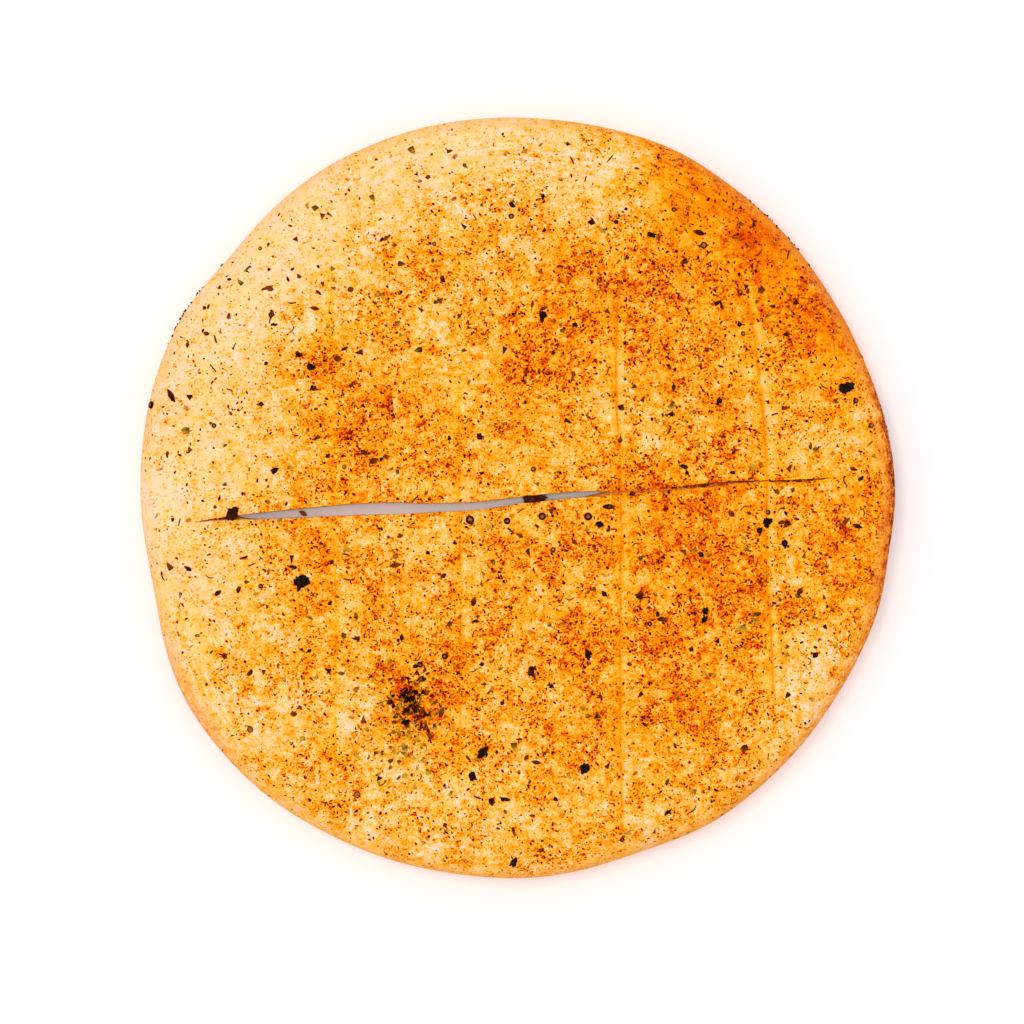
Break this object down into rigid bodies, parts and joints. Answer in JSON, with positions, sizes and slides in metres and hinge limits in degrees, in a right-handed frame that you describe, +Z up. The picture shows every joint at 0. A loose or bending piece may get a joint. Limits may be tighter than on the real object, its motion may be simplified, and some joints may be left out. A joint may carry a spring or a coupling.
{
  "type": "garlic pizza bread",
  "caption": "Round flat garlic bread baked in a pan, slit across the middle and scored into strips, with paprika, pepper and dried herbs on top",
  "frame": {"origin": "middle of the bread's box in plan, on the plane it lies on", "axes": "+Z up out of the topped side, +X to the picture's right along the long slit, +Y to the picture's top"},
  "size_m": [0.2532, 0.2552, 0.0187],
  "materials": {
    "crust": "baked buttered dough, pale cream to orange brown, soft low gloss",
    "burnt": "charred bits, matt black brown",
    "herbs": "dried herb leaves, olive to dark brown, matt",
    "spice": "paprika, chilli and seeds, red brown, matt",
    "pepper": "ground pepper specks, dark brown, matt"
  },
  "bodies": {
    "root": {"bread": "crust"}
  },
  "joints": []
}
